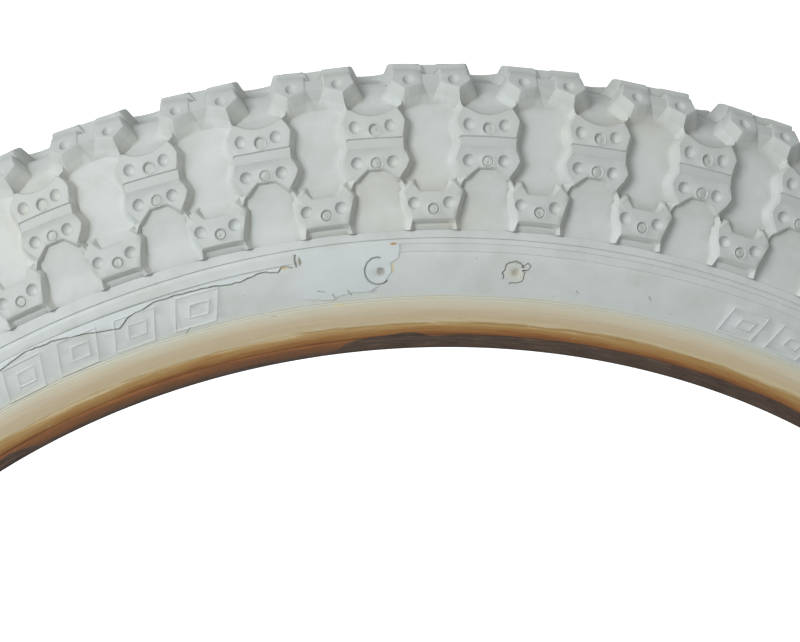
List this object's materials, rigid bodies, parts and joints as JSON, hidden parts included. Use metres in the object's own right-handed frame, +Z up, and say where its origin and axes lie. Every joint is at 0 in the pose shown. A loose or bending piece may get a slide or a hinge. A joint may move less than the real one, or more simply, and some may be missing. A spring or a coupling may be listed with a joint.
{
  "type": "bicycle tyre",
  "caption": "Wired-on knobbly bicycle tyre in white rubber: crown, shoulder and edge knobs, cord plies, steel bead cores and dark rim strips.",
  "frame": {"origin": "centre of the tyre, on its axis and its mid-plane", "axes": "+Y along the tyre's axis, from the front to the rear side wall; +Z up with the tyre standing; +X across the wheel"},
  "size_m": [0.4036, 0.0562, 0.4036],
  "materials": {
    "tread_rubber": "matt moulded white rubber",
    "sidewall_rubber": "matt moulded white rubber, yellowing to amber beside the bead",
    "outer_ply_cord": "cord fabric coated in tan rubber",
    "inner_ply_cord": "cord fabric coated in tan rubber, cords showing on the inside",
    "filler_rubber": "hard dark rubber",
    "bead_wire": "bronze-coated steel wire",
    "core_rubber": "hard black rubber",
    "rim_strip_fabric": "dark brown rubberised canvas"
  },
  "bodies": {
    "root": {"tread": "tread_rubber", "sidewall_front": "sidewall_rubber", "sidewall_rear": "sidewall_rubber", "outer_ply": "outer_ply_cord", "inner_ply": "inner_ply_cord", "bead_filler_front": "filler_rubber", "bead_filler_rear": "filler_rubber", "bead_wires_front": "bead_wire", "bead_wires_rear": "bead_wire", "bead_coat_front": "core_rubber", "bead_coat_rear": "core_rubber", "chafer_front": "rim_strip_fabric", "chafer_rear": "rim_strip_fabric"}
  },
  "joints": []
}
